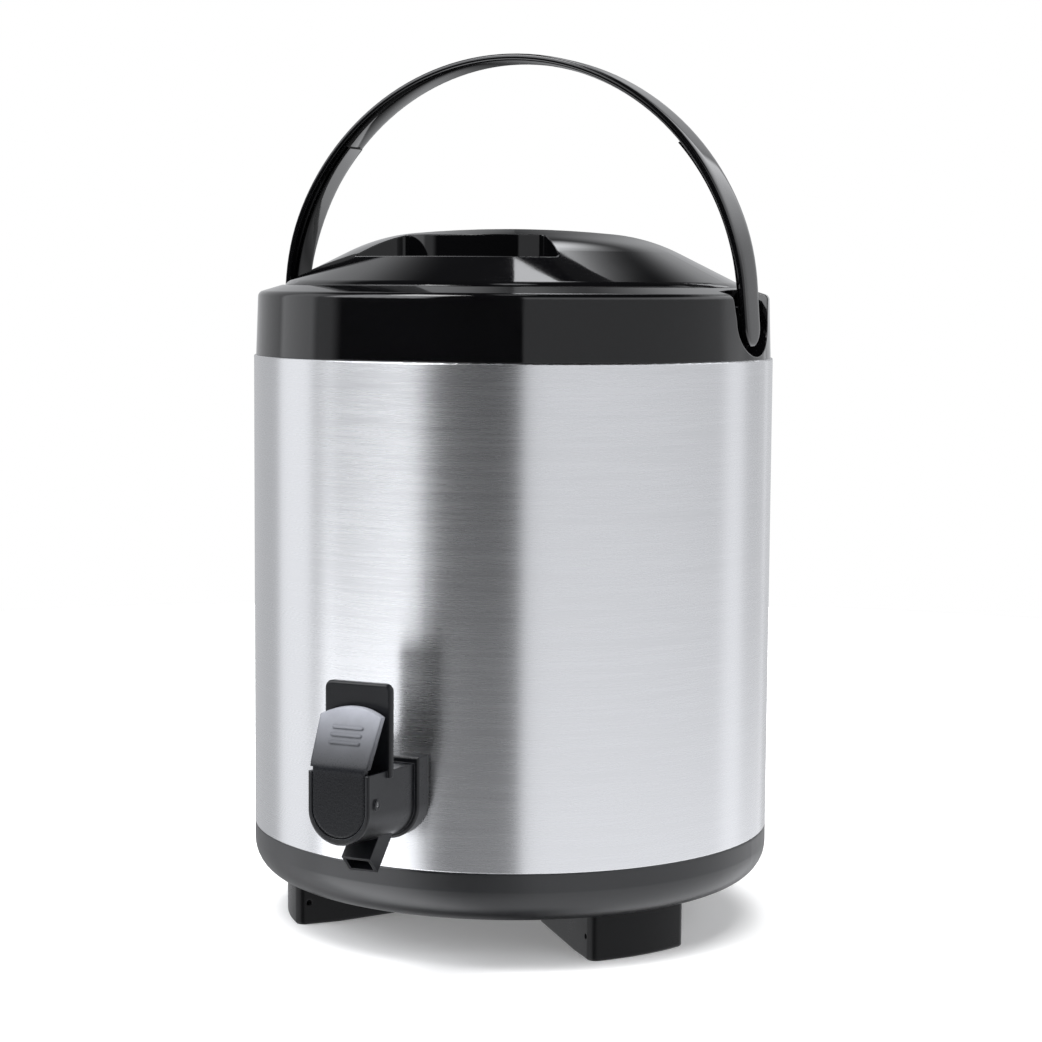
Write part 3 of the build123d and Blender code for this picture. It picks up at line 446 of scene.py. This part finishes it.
# %% [markdown]
# ### Brushed steel: the drum
# The sheet was brushed along its length before it was rolled, so the scratches run round the drum
# and reflections smear up and down. The scratches are noise in unrolled coordinates: distance
# round the drum, and height. Height is stretched far more, so each cell becomes a long thin
# streak.

# %% Brushed steel


def brushed(name, colour, rough, streak_depth, anisotropy, along=26.0, across=3400.0):
    """Steel with streaks that run round the Z axis."""
    made = Finish(name)
    parts = made.node("ShaderNodeSeparateXYZ", {0: made.place}).outputs
    angle = made.math("ARCTAN2", parts[0], made.math("MULTIPLY", parts[1], -1.0))
    round_it = made.math("MULTIPLY", angle, drum_r)
    sheet = made.node("ShaderNodeCombineXYZ", {0: round_it, 1: 0.0, 2: parts[2]}).outputs[0]

    def streaks(x, z, seed):
        links = {"Vector": sheet, "Scale": (x, 1, z), "Location": (seed, seed, 0)}
        where = made.node("ShaderNodeMapping", links).outputs[0]
        return made.noise(1.0, 2, 0.5, where)

    fine = streaks(along * 3, across, 1.3)
    long = streaks(along, across / 3, 5.1)
    broad = streaks(along / 3, across / 14, 9.7)
    mix = made.math("ADD", made.math("MULTIPLY", fine, 0.4), made.math("MULTIPLY", long, 0.6))
    tone = made.math("ADD", made.math("MULTIPLY", mix, 0.7), made.math("MULTIPLY", broad, 0.3))
    tangent = made.node("ShaderNodeTangent", direction_type="RADIAL", axis="Z").outputs[0]
    made.tree.links.new(tangent, made.shader.inputs["Tangent"])
    made.shader.inputs["Anisotropic"].default_value = anisotropy
    made.shader.inputs["Anisotropic Rotation"].default_value = 0.25
    darker = tuple(c * 0.965 for c in colour)
    return made.wire(
        colour=made.blend(made.span(tone, 0.0, 1.0, 0.3, 0.7), darker, colour),
        roughness=made.span(tone, rough * 0.94, rough * 1.07, 0.3, 0.7),
        normal=made.bump(mix, 0.18, streak_depth, made.rounded(0.0005)),
        metal=1.0,
    )


shell_steel = brushed("brushed_drum_steel", (0.66, 0.665, 0.68), 0.27, 0.000005, 0.8)
tank_steel = brushed("tank_steel", (0.7, 0.7, 0.71), 0.22, 0.000008, 0.4)

# %% [markdown]
# ### The hidden pieces
# The foam, the plug, the seals and the fasteners show only when the lid lifts or from below, but
# a part that opens needs them finished too.

# %% Foam, plug, seals and fasteners


def cellular_foam():
    """Poured foam: small cells, stained in clouds."""
    made = Finish("rigid_foam")
    links = {"Vector": made.place, "Scale": 700.0}
    cells = made.node("ShaderNodeTexVoronoi", links).outputs["Distance"]
    stain = made.noise(24, 4)
    return made.wire(
        colour=made.blend(stain, (0.72, 0.6, 0.36), (0.86, 0.77, 0.55)),
        roughness=made.span(stain, 0.85, 0.95),
        normal=made.bump(cells, 0.8, 0.0005),
    )


def soft_seal(name, colour, rough):
    """Silicone or rubber with a powdery skin."""
    made = Finish(name)
    powder = made.noise(500, 4)
    made.shader.inputs["Subsurface Weight"].default_value = 0.05
    return made.wire(
        colour=made.blend(powder, colour, tuple(min(1, c * 1.15 + 0.01) for c in colour)),
        roughness=made.span(powder, rough, rough + 0.12),
        normal=made.bump(powder, 0.3, 0.00004, made.rounded(0.0003)),
    )


def light_plastic(name, colour):
    """White plastic with faint flow marks."""
    made = Finish(name)
    flow = made.noise(60, 5)
    return made.wire(
        colour=made.blend(flow, tuple(c * 0.94 for c in colour), colour),
        roughness=made.span(flow, 0.28, 0.42),
        normal=made.bump(made.noise(1800, 2), 0.25, 0.00003, made.rounded(0.0005)),
    )


def turned_steel(name, colour, rough):
    """Bright steel with fine rings from the lathe."""
    made = Finish(name)
    rings = made.noise(1.0, 2, 0.5, made.stretched(300, 300, 5200))
    return made.wire(
        colour=made.blend(rings, tuple(c * 0.85 for c in colour), colour),
        roughness=made.span(rings, rough, rough + 0.14),
        normal=made.bump(rings, 0.4, 0.00001, made.rounded(0.0002)),
        metal=1.0,
    )


FINISHES = {
    "gloss_black": gloss_black,
    "satin_black": satin_black,
    "tap_black": tap_black,
    "shell_steel": shell_steel,
    "tank_steel": tank_steel,
    "foam": cellular_foam(),
    "plug_white": light_plastic("plug_white", (0.82, 0.82, 0.8)),
    "silicone": soft_seal("silicone_seal", (0.72, 0.72, 0.7), 0.42),
    "black_rubber": soft_seal("black_rubber", (0.012, 0.012, 0.012), 0.5),
    "fastener_steel": turned_steel("fastener_steel", (0.6, 0.6, 0.61), 0.18),
    "nut_plastic": light_plastic("nut_white", (0.8, 0.8, 0.78)),
    "spring_steel": turned_steel("spring_steel", (0.55, 0.55, 0.57), 0.24),
}
SPECIAL = {name: foot_black for name in ("foot_left", "foot_right", "foot_rear")}
SPECIAL["tap_lever"] = lever_black
for sub in frame["record"]["subparts"]:
    piece = frame["nodes"][sub["node"]]
    piece.data.materials.clear()
    finish = SPECIAL.get(sub["node"], FINISHES[sub["material_slot"]])
    piece.data.materials.append(finish)
print(len(FINISHES), "finishes on", len(frame["nodes"]), "CAD pieces")

# %% [markdown]
# ### The table
# The table is matt white laminate, so it needs hardly any recipe: a slow change of tone, and a
# painted glow of its own, though it is no lamp, which lifts the shadow under the barrel.

# %% Finish the table
TABLE_GLOW = 0.2
table_finish = Finish("pale_table")
paper = table_finish.noise(8, 3)
table_finish.wire(
    colour=table_finish.blend(paper, (0.86, 0.86, 0.86), (0.88, 0.88, 0.88)),
    roughness=table_finish.span(paper, 0.7, 0.8),
)
table_finish.shader.inputs["Specular IOR Level"].default_value = 0.1
# painted light: the table glows to lighten the shadow under the barrel
table_finish.shader.inputs["Emission Color"].default_value = (1, 1, 1, 1)
table_finish.shader.inputs["Emission Strength"].default_value = TABLE_GLOW
table.data.materials.append(table_finish.material)
print("table finished, glow", TABLE_GLOW)

# %% [markdown]
# ## The handle
# The CAD handle is a flat strap with cut edges, right in size but plain. The real one is moulded
# with a crowned outer face and round edges, and its arms end like fingertips. A sweep follows a
# rule, so it is a Geometry Nodes job: a rounded section is carried along the arch, and the arch's
# own radius makes it narrower towards the ends.

# %% Lay out the arch
ARM_FLARE = math.radians(5.0)
STRAP_T = 0.005
ARCH_TOP = arm_high.z
ARCH_R = 0.1246
arch_z = ARCH_TOP - ARCH_R
arm_end = arm_low.z
END_R = pivot_z - arm_end
HALF_MID, HALF_TOP = 0.012, 0.011
MID_RISE = 0.05


def strap_half(z):
    """Half the strap's width at a height, as on the CAD strap."""
    rise = z - pivot_z
    if rise <= 0:
        return END_R * math.sqrt(max(0.0, 1 - (rise / END_R) ** 2))
    if rise < MID_RISE:
        t = rise / MID_RISE
        return END_R + (HALF_MID - END_R) * (3 * t * t - 2 * t**3)
    t = min(1.0, (rise - MID_RISE) / (ARCH_TOP - pivot_z - MID_RISE))
    return HALF_MID + (HALF_TOP - HALF_MID) * (3 * t * t - 2 * t**3)


def arch_points(radius, steps=72, arm_steps=14):
    """Points up the right arm, over the arch and down the left arm."""
    knee = Vector((radius * math.cos(ARM_FLARE), 0, arch_z + radius * math.sin(ARM_FLARE)))
    foot_x = knee.x + (knee.z - arm_end) * math.tan(ARM_FLARE)
    right = []
    for k in range(arm_steps):
        t = 1 - math.cos(k / arm_steps * math.pi / 2)
        right.append(Vector((foot_x + (knee.x - foot_x) * t, 0, arm_end + (knee.z - arm_end) * t)))
    over = []
    for k in range(steps + 1):
        a = ARM_FLARE + (math.pi - 2 * ARM_FLARE) * k / steps
        over.append(Vector((radius * math.cos(a), 0, arch_z + radius * math.sin(a))))
    left = [Vector((-p.x, 0, p.z)) for p in reversed(right)]
    return right + over + left


def path_object(name, points, scale_at):
    """A poly curve whose point radius scales the section carried along it."""
    data = bpy.data.curves.new(name, "CURVE")
    data.dimensions = "3D"
    spline = data.splines.new("POLY")
    spline.points.add(len(points) - 1)
    for made, point in zip(spline.points, points):
        made.co = (*point, 1)
        made.radius = scale_at(point.z)
    host = bpy.data.objects.new(name, data)
    bpy.context.collection.objects.link(host)
    return host


strap_path = path_object(
    "strap_path", arch_points(ARCH_R - STRAP_T / 2), lambda z: max(0.02, strap_half(z) / HALF_MID)
)
print("arch", len(strap_path.data.splines[0].points), "points")

# %% [markdown]
# The section starts as a circle. Raising its cosine and sine to a small power squares it up and
# leaves round corners, and a parabola lifts the outer side into a crown.

# %% Build the sweep as a node tree


def sweep_tree():
    """Geometry Nodes: a crowned, round-cornered section along the host curve."""
    tree = bpy.data.node_groups.new("crowned_strap", "GeometryNodeTree")
    face = tree.interface
    face.new_socket("Geometry", in_out="INPUT", socket_type="NodeSocketGeometry")
    sizes = {"Half width": 0.012, "Half thickness": 0.0025, "Crown": 0.0009, "Corner power": 0.4}
    for name, value in sizes.items():
        face.new_socket(name, in_out="INPUT", socket_type="NodeSocketFloat").default_value = value
    face.new_socket("Steps", in_out="INPUT", socket_type="NodeSocketInt").default_value = 48
    face.new_socket("Finish", in_out="INPUT", socket_type="NodeSocketMaterial")
    face.new_socket("Geometry", in_out="OUTPUT", socket_type="NodeSocketGeometry")
    given = tree.nodes.new("NodeGroupInput").outputs

    def add(kind, links=None, **settings):
        made = tree.nodes.new(kind)
        for key, value in settings.items():
            setattr(made, key, value)
        for key, value in (links or {}).items():
            if isinstance(value, bpy.types.NodeSocket):
                tree.links.new(value, made.inputs[key])
            else:
                made.inputs[key].default_value = value
        return made

    def calc(operation, *values):
        return add("ShaderNodeMath", dict(enumerate(values)), operation=operation).outputs[0]

    ring = add("GeometryNodeCurvePrimitiveCircle", {"Resolution": given["Steps"], "Radius": 1.0})
    spot = add("ShaderNodeSeparateXYZ", {0: add("GeometryNodeInputPosition").outputs[0]}).outputs

    def squared(value):
        size = calc("POWER", calc("ABSOLUTE", value), given["Corner power"])
        return calc("MULTIPLY", calc("SIGN", value), size)

    across, out = squared(spot[0]), squared(spot[1])
    fall = calc("MULTIPLY", calc("MULTIPLY", across, across), given["Crown"])
    outer = calc("MAXIMUM", out, 0.0)
    flat = calc("MULTIPLY", out, given["Half thickness"])
    thick = calc("SUBTRACT", flat, calc("MULTIPLY", fall, outer))
    wide = calc("MULTIPLY", across, given["Half width"])
    shaped = add("ShaderNodeCombineXYZ", {0: wide, 1: thick, 2: 0.0}).outputs[0]
    section = add("GeometryNodeSetPosition", {"Geometry": ring.outputs[0], "Position": shaped})
    swept = add(
        "GeometryNodeCurveToMesh",
        {"Curve": given["Geometry"], "Profile Curve": section.outputs[0], "Fill Caps": True},
    )
    if "Scale" in swept.inputs:
        tree.links.new(add("GeometryNodeInputRadius").outputs[0], swept.inputs["Scale"])
    smooth = add("GeometryNodeSetShadeSmooth", {0: swept.outputs[0]})
    real = add("GeometryNodeRealizeInstances", {0: smooth.outputs[0]})
    links = {"Geometry": real.outputs[0], "Material": given["Finish"]}
    painted = add("GeometryNodeSetMaterial", links)
    done = tree.nodes.new("NodeGroupOutput")
    tree.links.new(painted.outputs[0], done.inputs[0])
    return tree


SWEEP = sweep_tree()


def run_tree(host, tree, **values):
    """Give the host the tree with these inputs, and return the result as a plain mesh."""
    modifier = host.modifiers.new("sweep", "NODES")
    modifier.node_group = tree
    for item in tree.interface.items_tree:
        key = item.name.replace(" ", "_").lower()
        if item.in_out == "INPUT" and key in values:
            modifier[item.identifier] = values[key]
    seen_by = bpy.context.evaluated_depsgraph_get()
    mesh = bpy.data.meshes.new_from_object(host.evaluated_get(seen_by), depsgraph=seen_by)
    bpy.data.objects.remove(host)
    return mesh


def handle_piece(name, mesh):
    """Link a finished mesh that swings with the handle."""
    piece = bpy.data.objects.new(name, mesh)
    bpy.context.collection.objects.link(piece)
    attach(piece, "handle")
    print(name, len(mesh.polygons), "faces")
    return piece


strap = handle_piece("handle_strap", run_tree(strap_path, SWEEP, finish=handle_gloss))
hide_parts("handle")

# %% [markdown]
# ### Pads and hubs
# Inside each arm a narrow pad stiffens the strap, and a round hub at the pivot takes the pin. The
# pads follow the same arch, so the same node tree carries a smaller section up to their ends. A
# hub is a turned shape: its outline is carried round the pin's line.

# %% Run the pads up both arms
PAD_T, PAD_HALF = 0.001, 0.0075
PAD_LOW, PAD_HIGH = pivot_z - 0.0051, 0.382
PAD_SINK = 0.0002  # into the strap, so that no gap shows
pad_r = ARCH_R - STRAP_T - PAD_T / 2 + PAD_SINK
pad_line = [p for p in arch_points(pad_r, 160, 60) if PAD_LOW <= p.z <= PAD_HIGH]
for side, sign in (("right", 1), ("left", -1)):
    points = [p for p in pad_line if p.x * sign > 0]
    path = path_object("pad_path_" + side, points, lambda z: 1.0)
    section = {"half_width": PAD_HALF, "half_thickness": PAD_T / 2, "crown": 0.0, "steps": 32}
    pad = run_tree(path, SWEEP, finish=handle_gloss, **section)
    handle_piece("handle_pad_" + side, pad)

# %% Turn the hubs
HUB_R, HUB_IN, HUB_OUT, HUB_EDGE = 0.009, 0.117, 0.1222, 0.0008


def hub_mesh(name, sign, around=64, corner_steps=4):
    """A short round boss on the pin's line, its inner rim rounded."""
    outline = [(HUB_OUT, 0.0), (HUB_OUT, HUB_R)]
    for k in range(corner_steps + 1):
        a = math.pi / 2 * k / corner_steps
        x, r = HUB_IN + HUB_EDGE * (1 - math.sin(a)), HUB_R - HUB_EDGE * (1 - math.cos(a))
        outline.append((x, r))
    outline.append((HUB_IN, 0.0))
    shape = bmesh.new()
    for x, r in outline:
        ring = [k * math.tau / around for k in range(around)] if r else [0.0]
        for a in ring:
            shape.verts.new((sign * x, r * math.cos(a), pivot_z + r * math.sin(a)))
    shape.verts.ensure_lookup_table()
    rings = len(outline) - 2
    for k in range(around):
        after = (k + 1) % around
        shape.faces.new([shape.verts[i] for i in (0, 1 + k, 1 + after)])
        for row in range(rings - 1):
            low, high = 1 + row * around, 1 + (row + 1) * around
            four = (low + k, high + k, high + after, low + after)
            shape.faces.new([shape.verts[i] for i in four])
        last = 1 + (rings - 1) * around
        shape.faces.new([shape.verts[i] for i in (last + k, last + around, last + after)])
    bmesh.ops.recalc_face_normals(shape, faces=shape.faces)
    mesh = bpy.data.meshes.new(name)
    shape.to_mesh(mesh)
    shape.free()
    mesh.materials.append(handle_gloss)
    return mesh


for side, sign in (("right", 1), ("left", -1)):
    handle_piece("handle_hub_" + side, hub_mesh("handle_hub_" + side, sign))
